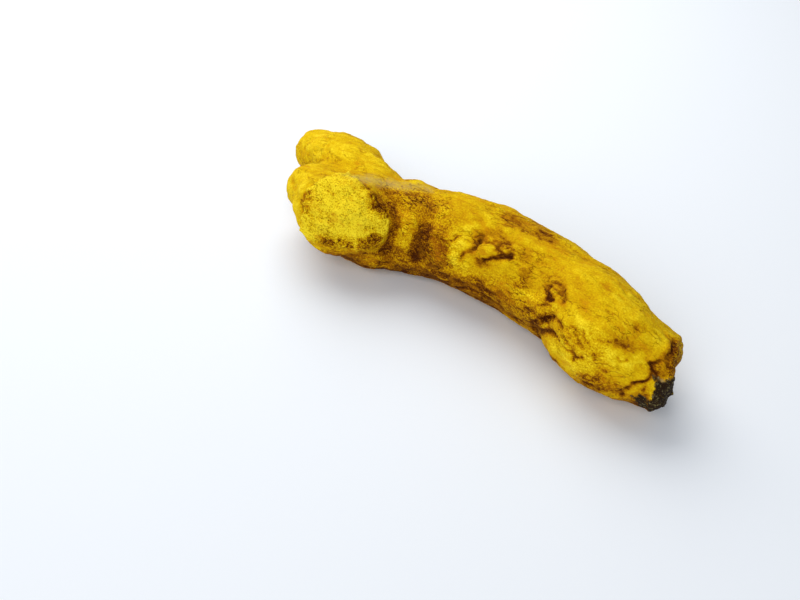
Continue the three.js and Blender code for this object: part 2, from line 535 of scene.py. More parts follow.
@dataclass(frozen=True)
class PhotoView:
    """The camera that sees the root from the photograph's side."""

    azimuth: float = 38.0
    elevation: float = 42.0
    lens: float = 45.0
    sensor: float = 36.0
    image: Spot = (800.0, 600.0)
    seen_point: Point = (8.65, -1.39, 7.61)
    seen_at: Spot = (497.0, 272.0)
    pixels_a_mm: float = 6.6

    def axes(self) -> tuple[Vector, Vector, Vector]:
        """The camera's own directions.

        Returns:
            Its right, up and forward directions.
        """
        turn = math.radians(self.azimuth)
        tilt = math.radians(self.elevation)
        right = Vector((math.cos(turn), math.sin(turn), 0.0))
        level = Vector((-math.sin(turn), math.cos(turn), 0.0))
        forward = level * math.cos(tilt) - Vector((0.0, 0.0, math.sin(tilt)))
        return right, right.cross(forward), forward

    def focal(self) -> float:
        """The lens's length in pixels."""
        return self.image[0] * self.lens / self.sensor

    def toward(self, pixel: Spot) -> Vector:
        """The way from the camera to what shows at a pixel.

        Args:
            pixel: the place in the image, from its top left corner.

        Returns:
            A vector one millimetre deep into the view.
        """
        right, up, forward = self.axes()
        across = (pixel[0] - self.image[0] / 2) / self.focal()
        down = (pixel[1] - self.image[1] / 2) / self.focal()
        return forward + right * across - up * down

    def pixels(self, points: np.ndarray) -> np.ndarray:
        """Where points show in the image.

        Args:
            points: the points, one row each.

        Returns:
            Their pixels, one row each.
        """
        right, up, forward = (np.array(axis) for axis in self.axes())
        away = points - np.array(self.place())
        scale = self.focal() / (away @ forward)
        across = self.image[0] / 2 + scale * (away @ right)
        down = self.image[1] / 2 - scale * (away @ up)
        return np.stack([across, down], axis=1)

    def place(self) -> Vector:
        """Where the camera stands."""
        depth = self.focal() / self.pixels_a_mm
        return Vector(self.seen_point) - self.toward(self.seen_at) * depth

    def make(self) -> bpy.types.Object:
        """Makes the camera and gives it to the scene.

        Returns:
            The camera object.
        """
        data = bpy.data.cameras.new("photo view")
        data.lens = self.lens
        data.sensor_width = self.sensor
        camera = bpy.data.objects.new("photo view", data)
        bpy.context.scene.collection.objects.link(camera)
        camera.location = self.place() * MM
        camera.rotation_mode = "QUATERNION"
        camera.rotation_quaternion = self.axes()[2].to_track_quat("-Z", "Y")
        bpy.context.scene.camera = camera
        return camera


class Side(Enum):
    """The side of the root that a mark is placed from."""

    PHOTO = "pixels of the photograph"
    BACK = "X and Z, from behind"
    BELOW = "X and Y, from below"


@dataclass(frozen=True)
class Mark:
    """A line or a spot on the skin: a groove or a ridge, with a colour over it: most are stains, and a few
    are painted shade or a painted highlight.
    """

    name: str
    path: tuple[Spot, ...]
    width: float = 0.3
    height: float = -0.2
    strength: float = 0.8
    stain_and_shade: Mask = Mask.STAIN_AND_SHADE
    side: Side = Side.PHOTO


@dataclass(frozen=True)
class Patch:
    """An outlined area of the skin that shows in the photograph, with one mask: most are stains, and some
    are painted shade or painted light.
    """

    name: str
    outline: tuple[Spot, ...]
    soft: float = 5.0
    strength: float = 0.5
    stain_and_shade: Mask = Mask.STAIN_AND_SHADE
    height: float = 0.0


@dataclass(frozen=True)
class Specks:
    """Small spots strewn over an outlined area that shows in the photograph."""

    name: str
    outline: tuple[Spot, ...]
    count: int
    width: float = 0.26
    height: float = -0.12
    strength: float = 0.9
    stain_and_shade: Mask = Mask.STAIN_AND_SHADE
    tries: int = 5
    widths: Spot = (0.7, 1.4)
    strengths: Spot = (0.5, 1.0)

    def marks(self, draw: np.random.Generator) -> list[Mark]:
        """Strews the spots.

        Args:
            draw: the source of random numbers.

        Returns:
            A mark for each spot.
        """
        corners = np.array(self.outline, float)
        tried = (self.count * self.tries, 2)
        places = draw.uniform(corners.min(axis=0), corners.max(axis=0), tried)
        marks = []
        for place in places[outline_depth(places, corners) > 0][: self.count]:
            width = self.width * draw.uniform(*self.widths)
            strength = self.strength * draw.uniform(*self.strengths)
            marks.append(Mark(self.name, (tuple(place),), width, self.height, strength, self.stain_and_shade))
        return marks


def worn_ring(
    middle: Spot, radius: float, corners: int = 10, gap: int = 2, uneven: float = 0.22, turned: float = 0.6
) -> tuple[Spot, ...]:
    """An uneven round path with a gap.

    Args:
        middle: the circle's middle.
        radius: its average radius, in the middle's units.
        corners: how many points a whole circle would have.
        gap: how many of them the gap leaves out.
        uneven: how much the radius swells and shrinks, as a share of it.
        turned: where the radius starts to swell, in radians.

    Returns:
        The points.
    """
    turns = [2 * math.pi * step / corners for step in range(corners - gap)]
    radii = [radius * (1 + uneven * math.sin(2 * turn + turned)) for turn in turns]
    return tuple(
        (middle[0] + size * math.cos(turn), middle[1] + size * math.sin(turn))
        for size, turn in zip(radii, turns)
    )


STUB_MARKS = (
    # The stains of the two valleys paint their shade.
    Mark("painted shade in the first valley", ((397, 206), (396, 222), (391, 238), (385, 250)), 0.9, -0.3, 0.1),
    Mark("ridge between", ((407, 206), (406, 222), (402, 240)), 0.8, 0.2, 0.0, Mask.PALE),
    Mark("painted shade in the second valley", ((424, 226), (420, 240), (414, 256)), 1.4, -0.5, 0.25),
    Mark("knob outline", ((407, 180), (417, 180), (427, 183)), 0.3, -0.2, 0.7),
)

LONG_SCAR = (
    Mark("arc left of the scar", ((436, 236), (442, 240), (452, 241), (458, 235)), 0.2, -0.15, 0.7),
    Mark("thin end of the upper lid", ((461, 256), (464, 253), (470, 251)), 0.2, -0.25, 0.8),
    Mark("upper lid", ((470, 251), (476, 247), (480, 241)), 0.3, -0.3, 1.15),
    Mark("dark part of the upper lid", ((478, 242), (480, 239), (483, 238)), 0.36, -0.2, 1.3),
    Mark("line over the lid", ((475, 237), (480, 235), (485, 235)), 0.18, -0.15, 0.7),
    Mark("arc round the knob", ((485, 242), (491, 242), (497, 246), (499, 251)), 0.22, -0.25, 0.9),
    Mark("knob", ((489, 247),), 0.6, 0.12, 0.4, Mask.PALE),
    Mark("far arc", ((503, 238), (510, 244), (513, 250)), 0.2, -0.15, 0.6),
    Mark("rust spot", ((481, 252), (484, 253)), 0.5, 0.0, 1.5, Mask.RUST),
    Mark("lump between the lids", ((495, 253), (497, 254)), 0.3, 0.15, 0.7, Mask.PALE),
    Mark("second lump", ((506, 252), (508, 253)), 0.25, 0.12, 0.6, Mask.PALE),
    Mark("lower lid", ((484, 260), (491, 258), (498, 259), (511, 257)), 0.34, -0.35, 1.3),
    Mark("thin end of the lower lid", ((475, 258), (479, 261), (484, 260)), 0.22, -0.2, 0.8),
    Mark("dark part of the lower lid", ((499, 257), (504, 254), (509, 257)), 0.38, -0.2, 1.0),
    Mark("blur below the lid", ((478, 263), (487, 264)), 0.45, 0.0, 0.6),
    Mark("left rim", ((460, 260), (459, 270)), 0.2, -0.12, 0.4),
    Mark("first line in the scar", ((500, 239), (503, 246), (501, 252)), 0.16, -0.12, 0.8),
    Mark("second line in the scar", ((504, 241), (508, 248), (508, 252)), 0.15, -0.12, 0.7),
    Mark("third line in the scar", ((493, 240), (499, 241), (505, 243)), 0.15, -0.1, 0.6),
    Mark("ridge beside the scar", ((455, 260), (463, 241), (470, 226)), 0.9, 0.12, 0.8, Mask.PALE),
    Mark("dark flecks left of the scar", ((441, 246), (446, 250)), 0.35, -0.1, 0.8),
    Mark("line below the left rim", ((449, 265), (453, 269)), 0.2, -0.1, 0.6),
)

CREST = (
    Mark("orange spots", ((495, 207), (506, 209), (518, 213)), 0.7, 0.0, 0.5, Mask.RUST),
    Mark("dark spots", ((512, 219), (520, 223)), 0.4, -0.1, 0.8),
    Mark("dark fleck", ((541, 231), (550, 236)), 0.4, -0.15, 0.9),
    Mark("brown crest line", ((524, 214), (536, 222), (552, 232)), 0.5, -0.1, 0.4),
)

LOWER_EDGE = (
    Mark("first blotch", ((440, 273), (450, 277)), 0.4, -0.2, 0.8),
    Mark("second blotch", ((456, 281), (466, 285), (478, 288)), 0.45, -0.2, 0.9),
    Mark("third blotch", ((482, 289), (490, 294), (499, 292)), 0.45, -0.2, 0.9),
    Mark("light fleck", ((449, 278), (454, 278)), 0.25, 0.1, 1.2, Mask.PALE),
    Mark("second light fleck", ((462, 284), (467, 286)), 0.25, 0.1, 1.4, Mask.PALE),
    Mark("third light fleck", ((478, 292), (486, 297)), 0.25, 0.1, 1.0, Mask.PALE),
    Mark("orange smear", ((500, 297), (513, 301)), 0.9, 0.0, 0.6, Mask.RUST),
    Mark("dark streak", ((513, 317), (522, 322)), 0.35, -0.2, 0.9),
    Mark("streak to the notch", ((525, 308), (533, 312), (541, 320)), 0.4, -0.15, 0.6),
    Mark("notch", ((541, 322), (545, 318), (549, 317), (553, 317)), 0.35, -0.5, 1.2),
    Mark("heart of the notch", ((549, 318),), 0.5, -0.3, 1.0),
    Mark("tail of the notch", ((555, 317), (559, 321), (562, 327)), 0.22, -0.2, 0.7),
    Mark("lip below the notch", ((541, 326), (550, 326)), 0.35, 0.12, 0.6, Mask.PALE),
    Mark("crease below the notch", ((534, 331), (542, 331), (549, 331), (553, 334)), 0.45, -0.35, 1.1),
    # Painted shade along the lower edge, where the body turns under.
    Mark("painted shade on the lower edge", ((548, 350), (556, 361), (563, 370)), 0.45, 0.0, 0.8),
)

RING_SCAR = (
    Mark("left of the ring", ((550, 286), (547, 290), (547, 297)), 0.36, -0.2, 1.1),
    Mark("upper left of the ring", ((548, 286), (547, 290)), 0.36, -0.1, 0.9),
    Mark("foot of the ring", ((546, 299), (549, 300), (553, 300)), 0.3, -0.2, 1.0),
    Mark("top of the ring", ((549, 284), (554, 282), (559, 284)), 0.22, -0.15, 0.6),
    Mark("right of the ring", ((561, 287), (564, 294), (562, 302)), 0.5, -0.15, 0.4),
    Mark("middle of the ring", ((555, 293),), 0.6, 0.2, 0.7, Mask.PALE),
    Mark("dots in the ring", ((554, 288), (558, 291)), 0.15, -0.05, 0.5),
    Mark("streak below the ring", ((541, 305), (548, 304), (551, 307)), 0.3, -0.15, 0.6),
)

FAR_WRINKLES = (
    Mark("end of the crease", ((552, 334), (556, 337)), 0.22),
    Mark("upper spot", ((558, 341),), 0.28, -0.15, 0.9),
    Mark("slanting line", ((577, 338), (580, 343), (584, 349)), 0.2, -0.15, 0.7),
    Mark("faint line", ((563, 339), (568, 345), (574, 352)), 0.2, -0.1, 0.5),
    Mark("line beside it", ((571, 325), (575, 329), (577, 335)), 0.2, -0.1, 0.5),
    Mark("short line by the rim", ((583, 331), (584, 337)), 0.2, -0.1, 0.5),
    Mark("first wrinkle", ((558, 328), (563, 334), (566, 341)), 0.13, -0.12, 0.35),
    Mark("second wrinkle", ((566, 328), (570, 335), (572, 342)), 0.13, -0.12, 0.35),
    Mark("third wrinkle", ((585, 340), (590, 345), (592, 351)), 0.14, -0.12, 0.45),
    Mark("fourth wrinkle", ((562, 346), (566, 350), (571, 351)), 0.14, -0.12, 0.5),
    Mark("fifth wrinkle", ((590, 332), (596, 338), (603, 342)), 0.14, -0.1, 0.3),
    Mark("hook", ((571, 351), (574, 355), (573, 361)), 0.25, -0.2, 0.9),
    Mark("arm of the hook", ((575, 358), (582, 358)), 0.25, -0.15, 0.8),
    Mark("dark spot", ((594, 356),), 0.32, -0.15, 1.0),
    Mark("brown round the spot", ((594, 356),), 0.9, 0.0, 0.3),
    Mark("short line", ((608, 342), (613, 343)), 0.2, -0.1, 0.7),
    Mark("long dash", ((616, 341), (621, 345), (626, 347)), 0.32, -0.15, 0.8),
    Mark("brown round the dash", ((614, 343), (632, 350)), 1.0, 0.0, 0.25),
    Mark("small curve", ((617, 357), (620, 361), (627, 360)), 0.22, -0.15, 0.7),
    Mark("spot near the end", ((636, 327), (638, 330)), 0.35, -0.15, 0.8),
    Mark("brown round the end spot", ((636, 328),), 1.0, 0.0, 0.2),
    Mark("vein", ((576, 312), (580, 320), (587, 331)), 0.6, 0.2, 0.5, Mask.PALE),
)

FAR_EDGE = (
    Mark("low streak", ((583, 377), (590, 381), (598, 378)), 0.4, -0.2, 0.8),
    Mark("second low streak", ((583, 382), (592, 385)), 0.4, -0.15, 0.9),
    Mark("low orange", ((601, 374), (604, 380)), 0.6, 0.0, 0.6, Mask.RUST),
    Mark("low dark spot", ((614, 390), (621, 391), (622, 395)), 0.4, -0.2, 0.9),
    Mark("low line", ((598, 388), (612, 391)), 0.25, -0.1, 0.7),
    Mark("line over the low edge", ((597, 371), (600, 378)), 0.2, -0.1, 0.5),
)

BROKEN_END = (
    Mark("lower crack", ((626, 389), (632, 384), (640, 383), (648, 380), (652, 375)), 0.25, -0.35, 1.0),
    Mark("upper crack", ((650, 363), (656, 362), (661, 360)), 0.25, -0.3, 1.0),
    Mark("crack down the break", ((651, 365), (654, 371), (658, 378), (663, 384)), 0.3, -0.3, 1.0),
    # A painted highlight on a raised edge in the black of the break.
    Mark("painted highlight on an edge in the black", ((662, 380), (666, 386), (668, 392)), 0.18, 0.25, 0.6, Mask.DUST_AND_SHEEN),
    Mark("dark streak of the break", ((675, 341), (674, 350)), 0.42, -0.25, 1.3),
    Mark("lower dark streak of the break", ((669, 353), (667, 360), (669, 367)), 0.4, -0.25, 1.3),
    Mark("second streak of the break", ((676, 340), (675, 352)), 0.35, -0.2, 0.8),
    Mark("fringe of the black", ((664, 376), (674, 376)), 0.25, -0.1, 0.9),
)

HIDDEN = (
    Mark("back ring", worn_ring((14.0, 9.5), 1.6), 0.35, -0.25, 0.7, side=Side.BACK),
    Mark("back ring middle", ((14.0, 9.5),), 0.9, 0.3, 0.4, Mask.PALE, Side.BACK),
    Mark("back crease", ((-4.0, 4.5), (1.0, 5.5), (6.0, 4.5)), 0.4, -0.35, 0.9, side=Side.BACK),
    Mark("back upper crease", ((24.0, 10.0), (28.0, 9.0), (30.0, 6.5)), 0.35, -0.3, side=Side.BACK),
    Mark("back rust", ((-24.0, 9.0), (-20.0, 8.5)), 1.3, 0.0, 0.7, Mask.RUST, Side.BACK),
    Mark("low ring", worn_ring((20.0, -6.0), 1.5), 0.35, -0.25, side=Side.BELOW),
    Mark("low crease", ((2.0, -4.0), (6.0, -5.5), (12.0, -5.0)), 0.4, -0.35, 0.9, side=Side.BELOW),
    Mark("low rust", ((-22.0, 2.0), (-28.0, 4.0)), 1.4, 0.0, 0.7, Mask.RUST, Side.BELOW),
)

MARKS = (
    *STUB_MARKS,
    *LONG_SCAR,
    *CREST,
    *LOWER_EDGE,
    *RING_SCAR,
    *FAR_WRINKLES,
    *FAR_EDGE,
    *BROKEN_END,
    *HIDDEN,
)

CUT_FACE = Patch(
    "cut face",
    (
        (316, 182), (332, 177), (347, 176), (357, 179), (365, 189), (374, 195), (381, 207),
        (389, 221), (386, 233), (381, 243), (373, 248), (357, 251), (339, 247), (323, 243),
        (309, 238), (302, 229), (300, 221), (303, 210), (306, 197), (309, 189),
    ),
    4.0,
    1.0,
    Mask.CUT,
    0.6,
)

STUB_PATCHES = (
    CUT_FACE,
    Patch(
        "bright core",
        ((320, 188), (352, 188), (366, 204), (370, 222), (358, 234), (320, 230), (312, 208)),
        8.0, 0.6, Mask.PALE,
    ),
    Patch("right rim", ((368, 195), (376, 193), (386, 208), (389, 220), (381, 218), (373, 208)), 3.0, 0.4),
    Patch("lower rim", ((359, 238), (378, 232), (382, 242), (371, 249), (358, 249)), 3.0, 0.5),
    Patch("lower left rim", ((317, 237), (352, 240), (354, 249), (336, 247), (318, 243)), 3.0, 0.3),
    Patch("left rim", ((302, 196), (311, 192), (313, 214), (303, 218)), 3.0, 0.15),
    # Dust, with a painted sheen, along the top of the shoulder.
    Patch(
        "dust and painted sheen on the crest",
        (
            (344, 178), (370, 174), (395, 180), (432, 187), (434, 192), (400, 190), (374, 186),
            (358, 184),
        ),
        12.0, 0.68, Mask.DUST_AND_SHEEN,
    ),
    Patch(
        "brown shoulder",
        ((378, 187), (400, 191), (432, 195), (440, 212), (424, 220), (402, 206), (388, 204)),
        8.0, 0.4,
    ),
    # Painted shade on the stub's side wall and on the wall below the cut face.
    Patch(
        "painted shade on the side wall",
        (
            (388, 203), (398, 206), (400, 222), (395, 240), (387, 255), (378, 253), (387, 238),
            (391, 222),
        ),
        5.0, 0.72,
    ),
    Patch(
        "painted shade on the wall below",
        (
            (318, 249), (345, 254), (376, 252), (396, 246), (410, 256), (404, 272), (360, 270),
            (330, 263),
        ),
        5.0, 0.45,
    ),
    Patch(
        "ochre ridge", ((398, 203), (415, 205), (413, 226), (404, 253), (395, 250), (401, 228)),
        6.0, 0.16,
    ),
    # A painted shadow line at the foot of the wall below the cut face.
    Patch("painted shadow at the foot of the wall", ((330, 258), (362, 266), (406, 271), (406, 278), (360, 275)), 4.0, 0.5),
    # Painted shade in the second valley and on its far slope, and a painted shadow below it.
    Patch(
        "painted shade in the second valley",
        ((420, 220), (429, 226), (431, 244), (427, 260), (412, 264), (408, 252), (414, 236)),
        7.0, 0.85,
    ),
    Patch(
        "painted shade beside the valley", ((424, 222), (445, 228), (449, 264), (432, 272), (424, 260)),
        9.0, 0.75,
    ),
    Patch("painted shadow at the foot of the valley", ((398, 259), (446, 262), (448, 277), (404, 275)), 6.0, 0.4),
    Patch(
        "rough shoulder",
        ((380, 184), (440, 190), (462, 236), (456, 276), (400, 276), (330, 266), (376, 250)),
        10.0, 1.0, Mask.ROUGH,
    ),
    # Rust colour that also paints the shade on the valley's far slope.
    Patch(
        "rust and painted shade beside the valley", ((430, 232), (446, 238), (448, 262), (432, 264)),
        8.0, 0.55, Mask.RUST,
    ),
    Patch("rust on the finger", ((354, 146), (362, 145), (370, 151), (362, 153)), 5.0, 0.5, Mask.RUST),
    Patch(
        "pale finger",
        ((298, 138), (318, 128), (345, 132), (362, 144), (390, 170), (350, 172), (308, 168)),
        8.0, 0.6, Mask.PALE,
    ),
    Patch(
        "pale lobe",
        ((286, 180), (296, 168), (312, 174), (304, 192), (300, 214), (290, 210)),
        8.0, 0.7, Mask.PALE,
    ),
)

BODY_PATCHES = (
    Patch(
        "brown band",
        (
            (412, 266), (446, 271), (480, 280), (508, 296), (544, 320), (540, 332), (500, 314),
            (470, 298), (430, 282),
        ),
        6.0, 0.36,
    ),
    Patch("dark half of the band", ((412, 266), (446, 272), (482, 282), (490, 296), (440, 284)), 6.0, 0.45),
    Patch("ochre above the band", ((440, 196), (480, 198), (484, 220), (444, 230)), 12.0, 0.1),
    Patch("ochre above the scar", ((486, 228), (499, 226), (507, 237), (492, 240)), 5.0, 0.3),
    Patch("ochre right of the scar", ((516, 247), (532, 250), (533, 262), (518, 262)), 5.0, 0.25),
    Patch("ochre blotch", ((518, 268), (531, 268), (529, 280), (519, 279)), 3.0, 0.35),
    Patch("lower ochre blotch", ((514, 281), (532, 280), (532, 289), (514, 289)), 3.0, 0.3),
    Patch(
        "brown along the crest",
        ((505, 210), (540, 226), (560, 240), (556, 248), (530, 234), (500, 220)),
        6.0, 0.3,
    ),
    Patch("rust patch", ((596, 279), (605, 280), (614, 291), (607, 293)), 5.0, 0.6, Mask.RUST),
    Patch(
        "rough low body",
        ((448, 262), (520, 280), (560, 310), (548, 334), (500, 308), (448, 280)),
        10.0, 0.8, Mask.ROUGH,
    ),
    Patch(
        "rough far edge",
        ((545, 330), (590, 322), (614, 344), (606, 374), (630, 396), (580, 384)),
        10.0, 0.7, Mask.ROUGH,
    ),
    Patch("brown over the notch", ((520, 300), (548, 304), (544, 314), (524, 310)), 6.0, 0.25),
    Patch("orange wrinkles", ((556, 326), (584, 332), (590, 352), (566, 342)), 8.0, 0.14),
    # Painted light: these three areas are paled to look more brightly lit.
    Patch("painted light on the far area", ((604, 348), (642, 352), (648, 366), (606, 368)), 8.0, 0.85, Mask.PALE),
    Patch("painted light on the low area", ((546, 338), (572, 338), (578, 374), (562, 368)), 7.0, 0.85, Mask.PALE),
    Patch(
        "painted light on the far crest",
        ((606, 290), (632, 292), (672, 332), (664, 352), (630, 336)),
        10.0, 0.55, Mask.PALE,
    ),
    Patch("brown low edge", ((577, 375), (600, 374), (624, 390), (600, 390), (584, 388)), 5.0, 0.3),
)

END_PATCHES = (
    Patch(
        "brown of the break",
        (
            (658, 358), (668, 346), (674, 338), (679, 344), (679, 364), (677, 377), (660, 377),
            (652, 370),
        ),
        4.0, 0.3,
    ),
    # A painted highlight on the upper rim of the break.
    Patch("painted highlight on the rim of the break", ((678, 340), (683, 344), (682, 362), (678, 368)), 3.0, 0.3, Mask.DUST_AND_SHEEN),
    Patch(
        "black side",
        (
            (653, 376), (662, 381), (668, 377), (678, 377), (676, 384), (670, 391), (664, 403),
            (657, 416), (644, 415), (650, 402), (654, 393), (654, 385),
        ),
        5.0, 1.0, Mask.BLACK, 0.3,
    ),
    Patch(
        "scorched edge",
        (
            (650, 374), (656, 382), (653, 396), (647, 404), (656, 404), (664, 392),
            (662, 380),
        ),
        5.0, 0.5,
    ),
    Patch(
        "scorch round the spot",
        ((627, 396), (638, 390), (649, 396), (651, 410), (640, 410), (630, 403)),
        5.0, 0.5,
    ),
    Patch(
        "black spot below",
        ((630, 395), (640, 393), (646, 399), (648, 408), (640, 407), (633, 401)),
        4.0, 0.95, Mask.BLACK,
    ),
)

PATCHES = (*STUB_PATCHES, *BODY_PATCHES, *END_PATCHES)

SPECKS = (
    Specks("right rim", ((366, 196), (376, 193), (386, 209), (388, 219), (380, 217), (370, 207)), 22, 0.32),
    Specks("lower rim", ((357, 245), (361, 236), (378, 231), (382, 241), (372, 249)), 16, 0.3),
    Specks("lower left rim", ((316, 236), (334, 236), (336, 246), (320, 245)), 11),
    Specks("lower middle rim", ((338, 240), (353, 238), (354, 249), (341, 249)), 10),
    Specks("left rim", ((300, 197), (312, 190), (314, 214), (303, 220)), 14, 0.22),
    Specks("top right rim", ((360, 180), (370, 184), (374, 196), (364, 192)), 9, 0.22),
    Specks("core", ((318, 190), (366, 190), (374, 230), (318, 234)), 14, 0.18, -0.1, 0.45),
    Specks("shoulder", ((382, 184), (420, 187), (424, 204), (388, 206)), 18, 0.22, -0.1, 0.8),
    Specks("valley", ((412, 226), (432, 226), (434, 258), (410, 260)), 14, 0.3, -0.1, 0.6),
    Specks("scar", ((488, 239), (508, 240), (514, 250), (511, 257), (500, 250)), 20, 0.22, -0.12, 1.0),
    Specks("upper lid", ((472, 238), (486, 234), (486, 244), (473, 250)), 10, 0.24, -0.1, 1.0),
    Specks("light scar", ((494, 240), (510, 241), (512, 254), (498, 252)), 9, 0.18, 0.1, 1.0, Mask.PALE),
    Specks("ring", ((544, 283), (553, 282), (552, 303), (543, 300)), 7, 0.22, -0.1, 0.9),
    Specks("right of ring", ((559, 284), (567, 288), (566, 303), (558, 304)), 8, 0.24, -0.08, 0.45),
    Specks("notch", ((540, 313), (556, 312), (564, 326), (540, 324)), 9, 0.2, -0.1, 0.7),
    Specks("crest", ((494, 206), (524, 214), (560, 238), (548, 246), (500, 222)), 26, 0.24, -0.08, 0.65),
    Specks("wrinkled area", ((552, 328), (586, 330), (600, 362), (570, 364)), 12, 0.18, -0.08, 0.5),
    Specks("far low edge", ((575, 372), (606, 370), (628, 392), (600, 392)), 18, 0.26, -0.1, 0.75),
    Specks("low edge", ((430, 268), (500, 292), (545, 322), (500, 304), (440, 280)), 24, 0.3, -0.1, 0.7),
    Specks("light edge", ((436, 276), (500, 300), (540, 328), (470, 296)), 16, 0.25, 0.1, 0.9, Mask.PALE),
    Specks("break", ((662, 348), (676, 342), (678, 374), (656, 374)), 12, 0.25, -0.15, 0.8),
    Specks("grey flecks", ((655, 376), (668, 378), (672, 394), (656, 398)), 14, 0.16, 0.1, 0.8, Mask.DUST_AND_SHEEN),
    Specks("by the black", ((640, 386), (652, 384), (648, 400), (640, 396)), 7, 0.3, -0.1, 0.6),
)


class Form(Enum):
    """The shape of a layer of unevenness."""

    SOFT = "rounded lumps"
    FOLDED = "sharp low folds between rounded backs"
    CRUMBED = "grains side by side"


@dataclass(frozen=True)
class Layer:
    """One size of unevenness over the skin."""

    form: Form
    size: Point
    height: float
    start: Point
    fold_middle: float = 0.35
    fold_height: float = 1.4
    grain_middle: float = 0.5

    def over(self, points: np.ndarray) -> np.ndarray:
        """The layer's height at each point.

        Args:
            points: the skin's points, one row each.

        Returns:
            The heights.
        """
        places = [Vector(place) for place in points / self.size + self.start]
        if self.form is Form.CRUMBED:
            values = self.grain_middle - np.array([noise.voronoi(place)[0][0] for place in places])
        else:
            values = np.array([noise.noise(place) for place in places])
        if self.form is Form.FOLDED:
            values = (abs(values) - self.fold_middle) * self.fold_height
        return values * self.height


def soft_step(values: np.ndarray, low: float, high: float) -> np.ndarray:
    """A step from 0 at low to 1 at high, eased at both ends.

    Args:
        values: the numbers to take the step over.
        low: where it starts.
        high: where it ends.

    Returns:
        The step's height for each number.
    """
    share = np.clip((values - low) / (high - low), 0, 1)
    return share * share * (3 - 2 * share)


def path_distance(points: np.ndarray, path: np.ndarray) -> np.ndarray:
    """The distance from each point to a path.

    Args:
        points: the points, one row each.
        path: the path's corners, one row each.

    Returns:
        The distances.
    """
    nearest = np.linalg.norm(points - path[0], axis=1)
    for start, end in zip(path[:-1], path[1:]):
        along = end - start
        share = np.clip((points - start) @ along / max(along @ along, 1e-9), 0, 1)
        away = points - start - share[:, None] * along
        nearest = np.minimum(nearest, np.linalg.norm(away, axis=1))
    return nearest


def outline_depth(places: np.ndarray, outline: np.ndarray) -> np.ndarray:
    """How far inside a closed outline each place is.

    Args:
        places: the places, one row each.
        outline: the outline's corners, one row each.

    Returns:
        The distances to the outline, below 0 outside it.
    """
    closed = np.vstack([outline, outline[:1]])
    inside = np.zeros(len(places), bool)
    for (left, top), (right, bottom) in zip(closed[:-1], closed[1:]):
        crossed = (top > places[:, 1]) != (bottom > places[:, 1])
        slope = (right - left) / (bottom - top) if bottom != top else 0.0
        inside ^= crossed & (places[:, 0] < left + (places[:, 1] - top) * slope)
    distance = path_distance(places, closed)
    return np.where(inside, distance, -distance)


@dataclass(frozen=True)
class Wear:
    """How crooked the marks and patches are, and how a mark's colour fades out round it."""

    ragged: tuple[Layer, ...] = (
        Layer(Form.SOFT, (0.9, 0.7, 0.7), 1.0, (5.1, 5.8, 3.7)),
        Layer(Form.SOFT, (2.4, 1.8, 1.8), 1.0, (0.6, 3.8, 8.5)),
        Layer(Form.SOFT, (0.42, 0.36, 0.36), 0.9, (3.6, 9.2, 1.5)),
    )
    bends: tuple[Spot, ...] = ((1.6, 0.15), (0.6, 0.1))
    patch_edge: float = 1.5
    width: float = 0.25
    widths: Spot = (0.6, 1.5)
    core: float = 0.8
    core_width: float = 0.8
    halo_width: float = 2.3
    fading: float = 0.3
    fadings: Spot = (0.6, 1.2)


